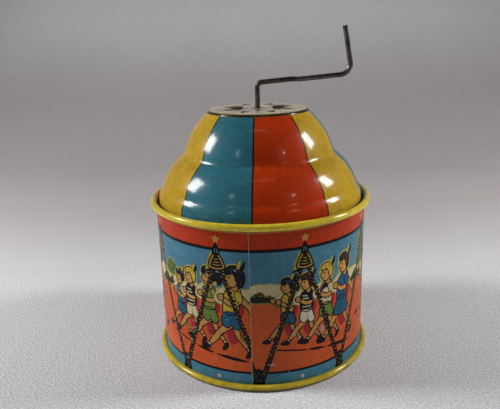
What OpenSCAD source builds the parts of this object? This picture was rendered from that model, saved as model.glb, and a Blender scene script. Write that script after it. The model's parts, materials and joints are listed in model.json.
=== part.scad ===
// Hand-cranked tin musical toy: a printed drum, a stepped dome and a wire crank.
// Millimetres, +Z up. Origin on the drum's axis, in the plane that the base bead stands on.

/* [Drum] */
// Diameter over the rolled beads
bead_outer_d = 90; // [86:0.5:96]
// Thickness of the tinplate
tin = 0.4; // [0.3:0.05:0.5]
// Diameter of the rolled rim bead's section
rim_bead_d = 2.6; // [2.2:0.1:3]
// Height of the rim bead's centre
rim_z = 64.35; // [60:0.5:70]
// Width of the lap seam's inner layer
lap_w = 6; // [3:0.5:10]
// Direction of the lap seam round the axis, from +X
lap_dir = 264; // [240:0.5:300]

/* [Base] */
// Diameter of the base bead's section
base_bead_d = 2.5; // [2.2:0.1:3]
// Height of the upstand inside the wall
upstand_h = 2.7; // [2:0.1:6]
// Height of the raised floor above the rim floor
floor_rise = 1.5; // [0.5:0.1:3]
// Radius of the raised floor
floor_r = 38; // [30:1:40]

/* [Dome] */
// Height of the pierced top
dome_top_z = 100; // [98:0.5:104]
// Radius of the flat top
top_flat_r = 18.9; // [18.5:0.1:19.4]
// Radius at the upper crease
crease1_r = 30.3; // [29:0.1:32]
// Height of the upper crease
crease1_z = 82.7; // [81:0.1:84]
// Radius at the lower crease
crease2_r = 39.4; // [38:0.1:40]
// Height of the lower crease
crease2_z = 70.5; // [69:0.1:72]
// Outer radius of the skirt
skirt_r = 41.4; // [41:0.1:41.6]
// Diameter of the hole that the shaft comes out of
top_hole_d = 4.4; // [3.6:0.1:5]

/* [Crank] */
// Diameter of the crank wire
wire_d = 2; // [1.8:0.1:2.2]
// Height at which the shaft starts to bend over
shaft_bend_z = 108; // [104:0.5:114]
// Length of the grip's straight stretch
grip_l = 13.9; // [10:0.1:20]

/* [Movement] */
// Number of tines
tine_count = 12; // [12]
// Radius of the tine circle
tine_circle_r = 11.5; // [11:0.1:12]
// Diameter of a tine
tine_d = 1.1; // [0.8:0.1:1.2]
// Free length of the shortest tine
tine_short = 8.2; // [8:0.1:9]
// Free length of the longest tine
tine_long = 18; // [14:0.5:19]
// Gap between a resting tine and a plectrum's tip
pluck_gap = 0.25; // [0.2:0.05:0.4]
// Radial running clearance of the shaft
run_gap = 0.05; // [0.03:0.01:0.08]

/* [Hidden] */

function tine_name(i) = str("tine_", i < 10 ? "0" : "", i);

$fn = 96;
bite = 0.05;                      // overlap that makes a cut or a union clean

// Drum and base
bead_outer_r = bead_outer_d / 2;
wall_in_r = bead_outer_r - rim_bead_d;
wall_out_r = wall_in_r + tin;
rim_r = wall_in_r + rim_bead_d / 2;
curl_open = 50;                   // degrees of the curl's section left open against the wall
curl_open_from = 192;             // where that opening starts, from the +X side of the section
base_bead_r = bead_outer_r - base_bead_d / 2;
base_bead_z = 1.1;                // less than the bead's radius, so it stands on a flat ring
rim_floor_z = 0.9;
wall_foot_z = rim_floor_z + tin;
floor_slope_w = 1.5;
lap_top_z = rim_z - 3.5;
lap_foot_z = wall_foot_z + upstand_h + 1;

// Dome
shoulder_w = 1.4;
shoulder_h = 1.1;
shoulder_sag = 0.3;
tier1_sag = 1.5;
tier2_sag = 1.4;
skirt_sag = 0.6;
top_edge_r = top_flat_r + shoulder_w;
top_edge_z = dome_top_z - shoulder_h;
skirt_z = 64.6;
flange_z = 61;
arc_steps = 9;
shoulder_steps = 6;

// Pierced top
outer_count = 8;
outer_base_r = 11.4;
outer_tip_r = 16.4;
outer_w = 4;
inner_count = 6;
inner_base_r = 9.9;
inner_tip_r = 6.9;
inner_w = 2.6;
lug_x = 6;
lug_w = 5;
lug_l = 4.6;
slot_gap = 0.15;
cut_h = 6 * tin;

// Frame
strap_t = 0.8;
strap_w = 9;
strap_half_l = 15;
web_top_z = dome_top_z - tin;
web_z = web_top_z - strap_t;
foot_l = 6;
plate_top_z = 77.4;
plate_t = 3.6;
plate_r = 21.5;
plate_z = plate_top_z - plate_t;
screw_x = 18;
screw_d = 2.4;
screw_head_d = 4.4;
screw_head_h = 1.4;
screw_l = 5;
screw_slot_w = 0.6;
screw_slot_deep = 0.6;

// Shaft and bearings
shaft_r = wire_d / 2;
bore_r = shaft_r + run_gap;
bush_r = 2.4;
bush_flange_r = 3.6;
bush_flange_t = 0.8;
washer_t = 0.4;
washer_r = 3.2;
axial_gap = 0.3;
hub_z = plate_top_z + bush_flange_t + washer_t + axial_gap;
hub_h = 7;
hub_r = 4.2;
shaft_end_z = plate_z - 3;
end_washer_z = plate_z - axial_gap - washer_t;
clip_t = 0.6;
clip_r = 2.6;
clip_z = end_washer_z - clip_t;
clip_groove_r = 0.7;
pin_d = 0.8;
pin_up = 1.6;
pin_z = hub_z + pin_up;

// Plectra and tines
plectrum_t = 0.3;
plectrum_h = 2.6;
plectrum_root_r = 1.9;
plectrum_tip_r = tine_circle_r - tine_d / 2 - pluck_gap;
plectrum_deep = 0.8;              // how far the leaves sit below the hub's top
plectrum_z = hub_z + hub_h - plectrum_h - plectrum_deep;
tine_root = 2.6;
tine_step = (tine_long - tine_short) / (tine_count - 1);

// Crank wire: each leg is [straight length, bend radius, bend angle]; a positive bend
// turns the wire towards +X and down, a negative one turns it back up.
bend_swell = 0.02;                // the bends are this much thicker, so the straights end inside them
arm_rise = 4.4;
grip_lean = 9.5;
crank_legs = [
    [shaft_bend_z - shaft_end_z, 2, 90 - arm_rise],
    [11.1, 8, 6.5],
    [2.4, 8, -6.5],
    [15.7, 4, -(90 - arm_rise + grip_lean)],
    [grip_l, 0, 0]
];

// ---- outline helpers -------------------------------------------------------

// Arc from p to q that bulges to the left of the way from p to q, moved inwards by inset.
function bulge(p, q, sag, steps, inset = 0) =
    let (c = norm(q - p),
         half = 2 * atan(2 * sag / c),
         r = c / (2 * sin(half)),
         along = (q - p) / c,
         out = [-along[1], along[0]],
         centre = (p + q) / 2 - out * (r - sag))
    [for (i = [0 : steps])
        let (a = half * (1 - 2 * i / steps))
        centre + (r - inset) * (out * cos(a) - along * sin(a))];

// Outline of the dome's sheet; inset 0 is its outer face, inset tin its inner face.
function dome_face(inset) = concat(
    [[0, dome_top_z - inset]],
    bulge([top_flat_r, dome_top_z], [top_edge_r, top_edge_z], shoulder_sag, shoulder_steps, inset),
    bulge([top_edge_r, top_edge_z], [crease1_r, crease1_z], tier1_sag, arc_steps, inset),
    bulge([crease1_r, crease1_z], [crease2_r, crease2_z], tier2_sag, arc_steps, inset),
    bulge([crease2_r, crease2_z], [skirt_r, skirt_z], skirt_sag, arc_steps, inset)
);

function reversed(list) = [for (i = [len(list) - 1 : -1 : 0]) list[i]];

module turned(d, h, z = 0) translate([0, 0, z]) cylinder(d = d, h = h);

// Ring of count triangles cut through the top; each has its base at base_r and its tip at tip_r.
module pierced_ring(count, base_r, tip_r, w) {
    for (i = [0 : count - 1])
        rotate([0, 0, (i + 0.5) * 360 / count])
        translate([0, 0, dome_top_z - cut_h / 2])
        linear_extrude(cut_h)
        polygon([[tip_r, 0], [base_r, -w / 2], [base_r, w / 2]]);
}

// ---- case ------------------------------------------------------------------

module curl_section() {
    translate([rim_r, rim_z])
    difference() {
        circle(d = rim_bead_d);
        circle(d = rim_bead_d - 2 * tin);
        rotate(curl_open_from)
        polygon([[0, 0], [rim_bead_d, 0], rim_bead_d * [cos(curl_open), sin(curl_open)]]);
    }
}

module drum_wall() color("firebrick") {
    rotate_extrude() {
        translate([wall_in_r, wall_foot_z]) square([tin, rim_z - wall_foot_z]);
        curl_section();
    }
    lap_angle = lap_w / wall_in_r * 180 / PI;
    rotate([0, 0, lap_dir])
    rotate_extrude(angle = lap_angle)
    translate([wall_in_r - tin, lap_foot_z]) square([tin + bite, lap_top_z - lap_foot_z]);
}

module base_pan() color("gold") {
    rotate_extrude() {
        difference() {
            translate([base_bead_r, base_bead_z]) circle(d = base_bead_d);
            translate([base_bead_r - base_bead_d, -base_bead_d]) square([2 * base_bead_d, base_bead_d]);
            translate([wall_in_r - base_bead_d, wall_foot_z])
            square([base_bead_d + tin, base_bead_d]);
        }
        polygon([
            [0, rim_floor_z + floor_rise],
            [floor_r, rim_floor_z + floor_rise],
            [floor_r + floor_slope_w, rim_floor_z],
            [base_bead_r, rim_floor_z],
            [base_bead_r, wall_foot_z],
            [wall_in_r, wall_foot_z],
            [wall_in_r, wall_foot_z + upstand_h],
            [wall_in_r - tin, wall_foot_z + upstand_h],
            [wall_in_r - tin, wall_foot_z],
            [floor_r + floor_slope_w, wall_foot_z],
            [floor_r, wall_foot_z + floor_rise],
            [0, wall_foot_z + floor_rise]
        ]);
    }
}

module dome_shell() {
    rotate_extrude()
    polygon(concat(
        dome_face(0),
        [[skirt_r, flange_z + tin], [wall_in_r, flange_z + tin], [wall_in_r, flange_z],
         [skirt_r - tin, flange_z]],
        reversed(dome_face(tin))
    ));
}

module dome_lid() color("teal") {
    difference() {
        dome_shell();
        turned(top_hole_d, cut_h, dome_top_z - cut_h / 2);
        pierced_ring(outer_count, outer_base_r, outer_tip_r, outer_w);
        pierced_ring(inner_count, inner_base_r, inner_tip_r, inner_w);
        for (side = [-1, 1])
            translate([side * (lug_x + strap_t / 2), 0, dome_top_z])
            cube([strap_t + 2 * slot_gap, lug_w + 2 * slot_gap, cut_h], center = true);
    }
}

// ---- movement: fixed pieces --------------------------------------------------

// One half of the frame's strap on the +X side, with its lug, leg and foot.
module strap_half() {
    translate([0, -strap_w / 2, web_z]) cube([strap_half_l, strap_w, strap_t]);
    translate([strap_half_l - strap_t, -strap_w / 2, plate_top_z])
    cube([strap_t, strap_w, web_top_z - plate_top_z]);
    translate([strap_half_l - strap_t, -strap_w / 2, plate_top_z])
    cube([strap_t + foot_l, strap_w, strap_t]);
    translate([lug_x, -lug_w / 2, web_top_z - bite])
    cube([strap_t, lug_w, tin + strap_t + bite]);
    translate([lug_x, -lug_w / 2, dome_top_z]) cube([lug_l, lug_w, strap_t]);
}

module bridge_frame() color("silver") {
    difference() {
        union() {
            strap_half();
            mirror([1, 0, 0]) strap_half();
        }
        turned(2 * bore_r, 3 * strap_t, web_z - strap_t);
        for (side = [-1, 1])
            translate([side * screw_x, 0, plate_top_z - strap_t]) cylinder(d = screw_d, h = 3 * strap_t);
    }
}

module comb_plate() color("gray") {
    difference() {
        turned(2 * plate_r, plate_t, plate_z);
        turned(2 * bush_r, 3 * plate_t, plate_z - plate_t);
        for (side = [-1, 1])
            translate([side * screw_x, 0, plate_z - plate_t]) cylinder(d = screw_d, h = 3 * plate_t);
        for (i = [1 : tine_count])
            at_tine(i) cylinder(d = tine_d, h = tine_root + 1);
    }
}

module comb_screws() color("lightgray") {
    for (side = [-1, 1])
        translate([side * screw_x, 0, plate_top_z + strap_t])
        difference() {
            union() {
                translate([0, 0, -screw_l]) cylinder(d = screw_d, h = screw_l + bite);
                cylinder(d = screw_head_d, h = screw_head_h);
            }
            translate([-screw_head_d, -screw_slot_w / 2, screw_head_h - screw_slot_deep])
            cube([2 * screw_head_d, screw_slot_w, screw_head_h]);
        }
}

module lower_bush() color("goldenrod") {
    difference() {
        union() {
            turned(2 * bush_r, plate_t, plate_z);
            turned(2 * bush_flange_r, bush_flange_t, plate_top_z);
        }
        turned(2 * bore_r, 3 * plate_t, plate_z - plate_t);
    }
}

module washer_ring(z) {
    difference() {
        turned(2 * washer_r, washer_t, z);
        turned(2 * bore_r, 3 * washer_t, z - washer_t);
    }
}

module thrust_washer() color("lightgray") washer_ring(plate_top_z + bush_flange_t);

// Puts its children at the root of tine i.
module at_tine(i) {
    rotate([0, 0, (i - 0.5) * 360 / tine_count])
    translate([tine_circle_r, 0, plate_top_z - tine_root])
    children();
}

module tine(i) color("slategray") {
    at_tine(i) cylinder(d = tine_d, h = tine_root + tine_short + (i - 1) * tine_step);
}

// ---- movement: turning pieces ------------------------------------------------

// Wire that follows legs from number i on, starting upwards at the origin.
module wire(legs, i = 0) {
    straight = legs[i][0];
    bend_r = legs[i][1];
    bend = legs[i][2];
    side = bend < 0 ? -1 : 1;
    lap_in = i > 0 ? bite : 0;
    lap_out = bend_r > 0 ? bite : 0;
    translate([0, 0, -lap_in]) cylinder(d = wire_d, h = straight + lap_in + lap_out);
    if (bend_r > 0)
        translate([side * bend_r, 0, straight]) {
            rotate([90, 0, 0])
            rotate_extrude(angle = abs(bend), start = side > 0 ? 180 - bend : 0)
            translate([bend_r, 0]) circle(d = wire_d + bend_swell);
            rotate([0, bend, 0]) translate([-side * bend_r, 0, 0]) wire(legs, i + 1);
        }
}

module crank_wire() color("dimgray") {
    $fn = 48;
    difference() {
        translate([0, 0, shaft_end_z]) wire(crank_legs);
        translate([0, 0, pin_z]) rotate([90, 0, 0]) cylinder(d = pin_d, h = 4 * wire_d, center = true);
        translate([0, 0, clip_z])
        difference() {
            cylinder(d = 2 * wire_d, h = clip_t);
            cylinder(r = clip_groove_r, h = clip_t);
        }
    }
}

module at_plectrum(i) rotate([0, 0, 120 * (i - 1) + 90]) children();

module rotor_hub() color("goldenrod") {
    difference() {
        turned(2 * hub_r, hub_h, hub_z);
        turned(wire_d, 3 * hub_h, hub_z - hub_h);
        translate([0, 0, pin_z]) rotate([90, 0, 0]) cylinder(d = pin_d, h = 4 * hub_r, center = true);
        for (i = [1 : 3])
            at_plectrum(i)
            translate([plectrum_root_r, -plectrum_t / 2, plectrum_z])
            cube([hub_r, plectrum_t, hub_h]);
    }
}

module plectrum(i) color("steelblue") {
    at_plectrum(i)
    translate([plectrum_root_r, -plectrum_t / 2, plectrum_z])
    cube([plectrum_tip_r - plectrum_root_r, plectrum_t, plectrum_h]);
}

module hub_pin() color("lightgray") {
    translate([0, 0, pin_z]) rotate([90, 0, 0]) cylinder(d = pin_d, h = 2 * hub_r, center = true);
}

module end_washer() color("lightgray") washer_ring(end_washer_z);

module end_clip() color("darkgray") {
    translate([0, 0, clip_z])
    difference() {
        cylinder(r = clip_r, h = clip_t);
        translate([0, 0, -clip_t]) cylinder(r = clip_groove_r, h = 3 * clip_t);
        translate([0, -clip_groove_r, -clip_t]) cube([2 * clip_r, 2 * clip_groove_r, 3 * clip_t]);
    }
}

drum_wall();
base_pan();
dome_lid();
bridge_frame();
comb_plate();
comb_screws();
lower_bush();
thrust_washer();
for (i = [1 : tine_count]) tine(i);
crank_wire();
rotor_hub();
plectrum(1);  // plectrum_1
plectrum(2);  // plectrum_2
plectrum(3);  // plectrum_3
hub_pin();
end_washer();
end_clip();
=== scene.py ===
"""Looks of the hand-cranked tin musical toy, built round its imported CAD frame. Metres, +Z up."""
import json
import math

import bmesh
import bpy
import numpy as np
from mathutils import Matrix, Vector
from mathutils.geometry import delaunay_2d_cdt


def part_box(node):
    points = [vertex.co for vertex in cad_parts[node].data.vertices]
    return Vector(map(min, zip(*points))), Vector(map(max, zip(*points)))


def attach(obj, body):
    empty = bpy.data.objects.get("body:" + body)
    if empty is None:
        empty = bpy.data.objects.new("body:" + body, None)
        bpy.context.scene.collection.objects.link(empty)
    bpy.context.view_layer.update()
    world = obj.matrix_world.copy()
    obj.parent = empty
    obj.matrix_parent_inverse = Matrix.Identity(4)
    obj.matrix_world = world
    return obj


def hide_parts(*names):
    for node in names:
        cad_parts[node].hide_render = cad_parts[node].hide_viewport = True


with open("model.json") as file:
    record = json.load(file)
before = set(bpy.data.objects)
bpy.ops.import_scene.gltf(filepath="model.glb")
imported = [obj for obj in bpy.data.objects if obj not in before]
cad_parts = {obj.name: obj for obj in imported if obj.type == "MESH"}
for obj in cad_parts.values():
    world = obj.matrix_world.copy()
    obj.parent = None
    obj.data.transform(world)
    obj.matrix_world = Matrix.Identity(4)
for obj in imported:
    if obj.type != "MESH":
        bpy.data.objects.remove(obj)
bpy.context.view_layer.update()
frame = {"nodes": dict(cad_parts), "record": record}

MM = 0.001
scene = bpy.context.scene

# ---- driving places, in millimetres: from the frame's boxes, or the part's own tin sizes ----
WALL_LOW, WALL_HIGH = (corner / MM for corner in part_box("drum_wall"))
DOME_LOW, DOME_HIGH = (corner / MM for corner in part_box("dome_lid"))

TIN = 0.4                          # thickness of the tinplate
RIM_BEAD_R = 1.3
RIM_R = WALL_HIGH.x - RIM_BEAD_R
RIM_Z = WALL_HIGH.z - RIM_BEAD_R
WALL_R = RIM_R - RIM_BEAD_R + TIN  # outer face of the wall
WALL_FOOT = WALL_LOW.z
WALL_TOP = RIM_Z - 0.5             # where the wall's sheet ends and its rolled rim takes over
BASE_BEAD_R = 1.25
BASE_BEAD_Z = 1.1
BASE_R = WALL_HIGH.x - BASE_BEAD_R
UPSTAND_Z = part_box("base_pan")[1].z / MM
PAN_Z = 0.9                        # underside of the pan's outer ring
FLOOR_R = 38                       # raised floor inside the pan
FLOOR_RISE = 1.5
DOME_TOP = DOME_HIGH.z
FLANGE_Z = DOME_LOW.z
SKIRT_R = 41.4
SEAM = math.radians(264)           # direction of the lap seam, from +X
LAP_STEP = 0.22                    # how far the outer layer stands off at the seam
LATHE_STEPS = 180


# ---- colour helpers ----
def linear(hexcode):
    """Linear RGBA of an sRGB colour written as rrggbb."""
    parts = [int(hexcode[i:i + 2], 16) / 255 for i in (0, 2, 4)]
    return tuple(c / 12.92 if c <= 0.04045 else ((c + 0.055) / 1.055) ** 2.4 for c in parts) + (1,)


# lemon is the rim bead's yellow, lighter than base_yellow partly as a painted sheen of the top-lit rim
INKS = {ink: linear(code) for ink, code in {
    "yellow": "d0a928", "lemon": "efd63c", "base_yellow": "d6be38", "dark_olive": "8a7a36",
    "teal": "3a7b8c", "red": "d04012", "band_red": "be3811", "ground": "d8602e",
    "crimson": "ae2c34", "sky": "3f83a2", "blue": "448aa6", "cream": "dccba0", "paper": "c9bb9a",
    "halo": "c2b252", "skin": "d29a50", "tan": "c09245", "olive": "98993c", "green": "6c8a3e",
    "lime": "b3ac3a", "leaf": "5a7838", "moss": "222b18", "cloth_blue": "285f80",
    "cloth_teal": "247180", "straw": "d4b440", "white": "e2dabd", "navy": "14171f",
    "brown": "3e2216", "umber": "3a2c1c", "rust": "8c4426", "steel": "66716f", "black": "0f0c0a",
    "tin": "a8a49b",
}.items()}
# how bare an ink is (1 = unprinted tin), how strongly its halftone dots show and how dirty it is
BARE = {"tin": 1.0}
DOTS = {"sky": 1.0, "blue": 0.6, "halo": 0.35, "skin": 0.4, "olive": 0.4, "green": 0.5}
GRIME = {"lemon": 0.2, "base_yellow": 0.35, "dark_olive": 0.9, "umber": 0.6, "yellow": 0.12, "paper": 0.2}


# ---- mesh helpers ----
def polar(r, angle, z):
    """The place at radius r and height z, at an angle from +X."""
    return (r * math.cos(angle), r * math.sin(angle), z)


def turn(steps):
    """Evenly spaced angles right round."""
    return [2 * math.pi * i / steps for i in range(steps)]


def arc(centre, r, start, end, steps):
    """Points of an arc in a plane, from start to end degrees."""
    angles = [math.radians(start + (end - start) * i / steps) for i in range(steps + 1)]
    return [(centre[0] + r * math.cos(a), centre[1] + r * math.sin(a)) for a in angles]


def bulge(p, q, sag, steps, inset):
    """Arc from p to q in the (r, z) plane that bulges to the left of the way, moved inwards by inset."""
    p, q = Vector(p), Vector(q)
    chord = (q - p).length
    half = 2 * math.atan(2 * sag / chord)
    r = chord / (2 * math.sin(half))
    along = (q - p) / chord
    out = Vector((-along.y, along.x))
    centre = (p + q) / 2 - out * (r - sag)
    angles = [half * (1 - 2 * i / steps) for i in range(steps + 1)]
    return [tuple(centre + (r - inset) * (out * math.cos(a) - along * math.sin(a))) for a in angles]


class Shell:
    """A mesh in the making: faces as corner places in millimetres, each with an ink and a bake layout."""

    def __init__(self):
        self.spots, self.verts, self.faces, self.inks, self.uvs = {}, [], [], [], []

    def face(self, corners, ink, uvs):
        """Adds a face, joined to its neighbours wherever their corners agree to 0.1 micrometre."""
        numbers = []
        for corner in corners:
            key = tuple(round(c, 4) + 0.0 for c in corner)
            if key not in self.spots:
                self.spots[key] = len(self.verts)
                self.verts.append([c * MM for c in corner])
            numbers.append(self.spots[key])
        keep = [k for k in range(len(numbers)) if numbers[k] != numbers[k - 1]]
        if len({numbers[k] for k in keep}) > 2:
            self.faces.append([numbers[k] for k in keep])
            self.inks.append(ink)
            self.uvs.append([uvs[k] for k in keep])

    def piece(self, name, material, slot, replaced, sharp):
        """The finished object, riding the case; edges that turn by more than sharp degrees stay sharp."""
        mesh = bpy.data.meshes.new(name)
        mesh.from_pydata(self.verts, [], self.faces)
        layout = mesh.uv_layers.new(name="OFBake")
        layout.data.foreach_set("uv", [c for uvs in self.uvs for uv in uvs for c in uv])
        finish = {ink: tuple(d.get(ink, 0) for d in (BARE, DOTS, GRIME)) + (1,) for ink in INKS}
        for layer, value in (("ink", INKS), ("finish", finish)):
            colours = [c for ink, face in zip(self.inks, self.faces) for c in value[ink] * len(face)]
            mesh.color_attributes.new(layer, "FLOAT_COLOR", "CORNER").data.foreach_set("color", colours)
        bm = bmesh.new()
        bm.from_mesh(mesh)
        bmesh.ops.recalc_face_normals(bm, faces=bm.faces)
        for f in bm.faces:
            f.smooth = True
        for e in bm.edges:
            e.smooth = e.calc_face_angle(0) < math.radians(sharp)
        bm.to_mesh(mesh)
        bm.free()
        mesh.materials.append(material)
        piece = bpy.data.objects.new(name, mesh)
        scene.collection.objects.link(piece)
        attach(piece, "case")
        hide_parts(replaced)
        return piece


def lengths(points):
    """Distance along a line of points, at each point."""
    out = [0.0]
    for a, b in zip(points, points[1:]):
        out.append(out[-1] + math.dist(a, b))
    return out


def lathe(shell, section, ink_of):
    """Closed section [(r, z), ...] turned right round; ink_of(j) is the ink from point j to the next."""
    along = lengths(section + section[:1])
    margin, width = 0.01, 0.98          # the bake layout's rectangle, filled by the whole skin
    for i in range(LATHE_STEPS):
        for j in range(len(section)):
            ends = [(i, j), (i + 1, j), (i + 1, j + 1), (i, j + 1)]
            corners = []
            for p, q in ends:
                r, z = section[q % len(section)]
                corners.append(polar(r, 2 * math.pi * (p % LATHE_STEPS) / LATHE_STEPS, z))
            uvs = [(margin + width * p / LATHE_STEPS, margin + width * along[q] / along[-1])
                   for p, q in ends]
            shell.face(corners, ink_of(j), uvs)


# ---- flat artwork: shapes in millimetres, u to the right and z up ----
def span(p0, p1, p2, p3, steps):
    """Points from p1 to just before p2, on the smooth curve through all four (Catmull-Rom)."""
    return [0.5 * (2 * p1 + (p2 - p0) * t + (2 * p0 - 5 * p1 + 4 * p2 - p3) * t * t
                   + (3 * p1 - p0 - 3 * p2 + p3) * t ** 3) for t in (s / steps for s in range(steps))]


def smooth(points, steps=4):
    """Closed curve through the points."""
    out = []
    for i in range(len(points)):
        out += span(*(Vector(points[(i + k) % len(points)]) for k in (-1, 0, 1, 2)), steps)
    return out


def blob(u, z, *spots):
    """Closed curve through spots given from the place (u, z)."""
    return smooth([(u + x, z + y) for x, y in spots])


def area(points):
    """Area inside the outline, less than zero when it runs clockwise."""
    return sum(a[0] * b[1] - b[0] * a[1] for a, b in zip(points, points[1:] + points[:1])) / 2


def grown(points, d):
    """Outline moved outwards by d."""
    points = [Vector(p) for p in (points if area(points) > 0 else points[::-1])]
    out = []
    for k, p in enumerate(points):
        a = (p - points[k - 1]).normalized()
        b = (points[(k + 1) % len(points)] - p).normalized()
        along = (a + b).normalized() if (a + b).length > 0.2 else b
        out.append(p + Vector((along.y, -along.x)) * d)
    return out


def oval(centre, rx, rz, tilt, steps):
    """Ellipse turned anticlockwise by tilt degrees."""
    turned = Matrix.Rotation(math.radians(tilt), 2)
    return [Vector(centre) + turned @ Vector((rx * math.cos(a), rz * math.sin(a))) for a in turn(steps)]


def star(centre, r):
    """Five-pointed star, point up."""
    out = []
    for k in range(10):
        a = math.pi / 2 + math.pi * k / 5
        out.append(Vector(centre) + (r * 0.42 if k % 2 else r) * Vector((math.cos(a), math.sin(a))))
    return out


def stroke(path, widths):
    """Band with pointed ends along a curve through the points; its widths are spread evenly."""
    path = [Vector(p) for p in path]
    line = []
    for i in range(len(path) - 1):
        p1, p2 = path[i], path[i + 1]
        p0 = path[i - 1] if i else 2 * p1 - p2
        p3 = path[i + 2] if i + 2 < len(path) else 2 * p2 - p1
        line += span(p0, p1, p2, p3, 3)
    line.append(path[-1])
    left, right = [], []
    for k, p in enumerate(line):
        along = (line[min(k + 1, len(line) - 1)] - line[max(k - 1, 0)]).normalized()
        side = Vector((-along.y, along.x))
        w = k / (len(line) - 1) * (len(widths) - 1)
        low = min(int(w), len(widths) - 2)
        half = (widths[low] + (widths[low + 1] - widths[low]) * (w - low)) / 2
        left.append(p + side * half)
        right.append(p - side * half)
    first = (line[1] - line[0]).normalized()
    last = (line[-1] - line[-2]).normalized()
    tip = [line[-1] + last * widths[-1] * 0.42]
    tail = [line[0] - first * widths[0] * 0.42]
    return left + tip + right[::-1] + tail


def draw(points, edges, line, closed=True):
    """Adds a line's points, and its edges as pairs of numbers of points."""
    first = len(points)
    points += [Vector(p) for p in line]
    edges += [(k, k + 1) for k in range(first, len(points) - 1)]
    if closed:
        edges.append((len(points) - 1, first))


def middles_of(points, tris):
    return np.array([[sum(points[k][c] for k in tri) / 3 for c in (0, 1)] for tri in tris])


class Print:
    """A printed sheet that repeats every `period` mm; a later shape covers an earlier one."""

    def __init__(self, columns, low, high):
        self.columns, self.low, self.high = columns, low, high
        self.period = columns[-1]
        self.shapes = []

    def fill(self, ink, points):
        self.shapes.append((ink, [Vector(p) for p in points]))

    def inked(self, ink, points, line, edge="black"):
        """A shape with an outline of width line round it."""
        self.fill(edge, grown(points, line))
        self.fill(ink, points)

    def triangles(self):
        """Points (u, z) and a list of (triangle, ink) that fill the sheet without overlap."""
        points, edges, placed = [], [], []
        for u in self.columns:
            draw(points, edges, [(u, self.low), (u, self.high)], False)
        for z in (self.low, self.high):
            draw(points, edges, [(0, z), (self.period, z)], False)
        for ink, outline in self.shapes:
            us = [p[0] for p in outline]
            for shift in (-self.period, 0, self.period):
                if max(us) + shift > 0 and min(us) + shift < self.period:
                    moved = [(p[0] + shift, p[1]) for p in outline]
                    draw(points, edges, moved)
                    placed.append((ink, np.array(moved)))
        verts, _, tris, _, _, _ = delaunay_2d_cdt(points, edges, [], 0, 1e-4, False)
        middles = middles_of(verts, tris)
        on_top = np.full(len(tris), -1)
        for n, (_, outline) in enumerate(placed):
            low, high = outline.min(0), outline.max(0)
            near = np.nonzero(((middles > low) & (middles < high)).all(1))[0]
            on_top[near[wound_round(outline, middles[near])]] = n
        sheet = (middles > (0, self.low)).all(1) & (middles < (self.period, self.high)).all(1)
        return verts, [(tri, placed[n][0]) for tri, n, kept in zip(tris, on_top, sheet) if kept]


def wound_round(outline, spots):
    """Which of the spots the outline goes round."""
    turns = np.zeros(len(spots), int)
    for (ax, ay), (bx, by) in zip(outline, np.roll(outline, -1, 0)):
        side = (bx - ax) * (spots[:, 1] - ay) - (by - ay) * (spots[:, 0] - ax)
        turns += ((ay <= spots[:, 1]) & (spots[:, 1] < by) & (side > 0)).astype(int)
        turns -= ((by <= spots[:, 1]) & (spots[:, 1] < ay) & (side < 0)).astype(int)
    return turns != 0


# ---- materials ----
class Nodes:
    """Short forms for building a node tree."""

    def __init__(self, name):
        self.material = bpy.data.materials.new(name)
        self.material.use_nodes = True
        self.tree = self.material.node_tree
        self.shader = self.tree.nodes["Principled BSDF"]

    def add(self, kind, sockets, **settings):
        """A new node with these settings and these values or links on its sockets."""
        node = self.tree.nodes.new("ShaderNode" + kind)
        for key, value in settings.items():
            setattr(node, key, value)
        for key, value in sockets.items():
            self.put(node.inputs[key], value)
        return node

    def put(self, socket, value):
        """Links value to the socket when it is another node's output, or sets it."""
        if isinstance(value, bpy.types.NodeSocket):
            self.tree.links.new(value, socket)
        else:
            socket.default_value = value

    def place(self):
        """Object coordinates, in millimetres."""
        return self.scaled(self.add("TexCoord", {}).outputs["Object"], (1 / MM,) * 3)

    def scaled(self, place, factors):
        return self.add("VectorMath", {0: place, 1: factors}, operation="MULTIPLY").outputs[0]

    def attribute(self, name):
        """Colour attribute of the mesh."""
        return self.add("Attribute", {}, attribute_name=name).outputs["Color"]

    def noise(self, place, size, detail, rough):
        """Noise with features about size millimetres across, from 0 to 1."""
        sockets = {"Vector": place, "Scale": 1 / size, "Detail": detail, "Roughness": rough}
        return self.add("TexNoise", sockets).outputs["Fac"]

    def ramp(self, fac, low, high, at_low=0.0, at_high=1.0):
        """Maps fac from low..high to at_low..at_high, smoothly and clamped."""
        sockets = {"Value": fac, "From Min": low, "From Max": high, "To Min": at_low, "To Max": at_high}
        return self.add("MapRange", sockets, interpolation_type="SMOOTHSTEP").outputs["Result"]

    def math(self, operation, a, b, clamp=False):
        return self.add("Math", {0: a, 1: b}, operation=operation, use_clamp=clamp).outputs[0]

    def times(self, a, b):
        return self.math("MULTIPLY", a, b)

    def mix(self, fac, a, b, blend="MIX"):
        sockets = {"Factor": fac, "A": a, "B": b}
        return self.add("Mix", sockets, data_type="RGBA", blend_type=blend).outputs["Result"]

    def bump(self, height, strength, distance, **normal):
        """Normal bent by the height; Normal=... is one to start from."""
        sockets = {"Height": height, "Strength": strength, "Distance": distance * MM, **normal}
        return self.add("Bump", sockets).outputs["Normal"]

    def set(self, **values):
        """Sets or links sockets of the Principled shader."""
        for key, value in values.items():
            self.put(self.shader.inputs[key.replace("_", " ")], value)


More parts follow.
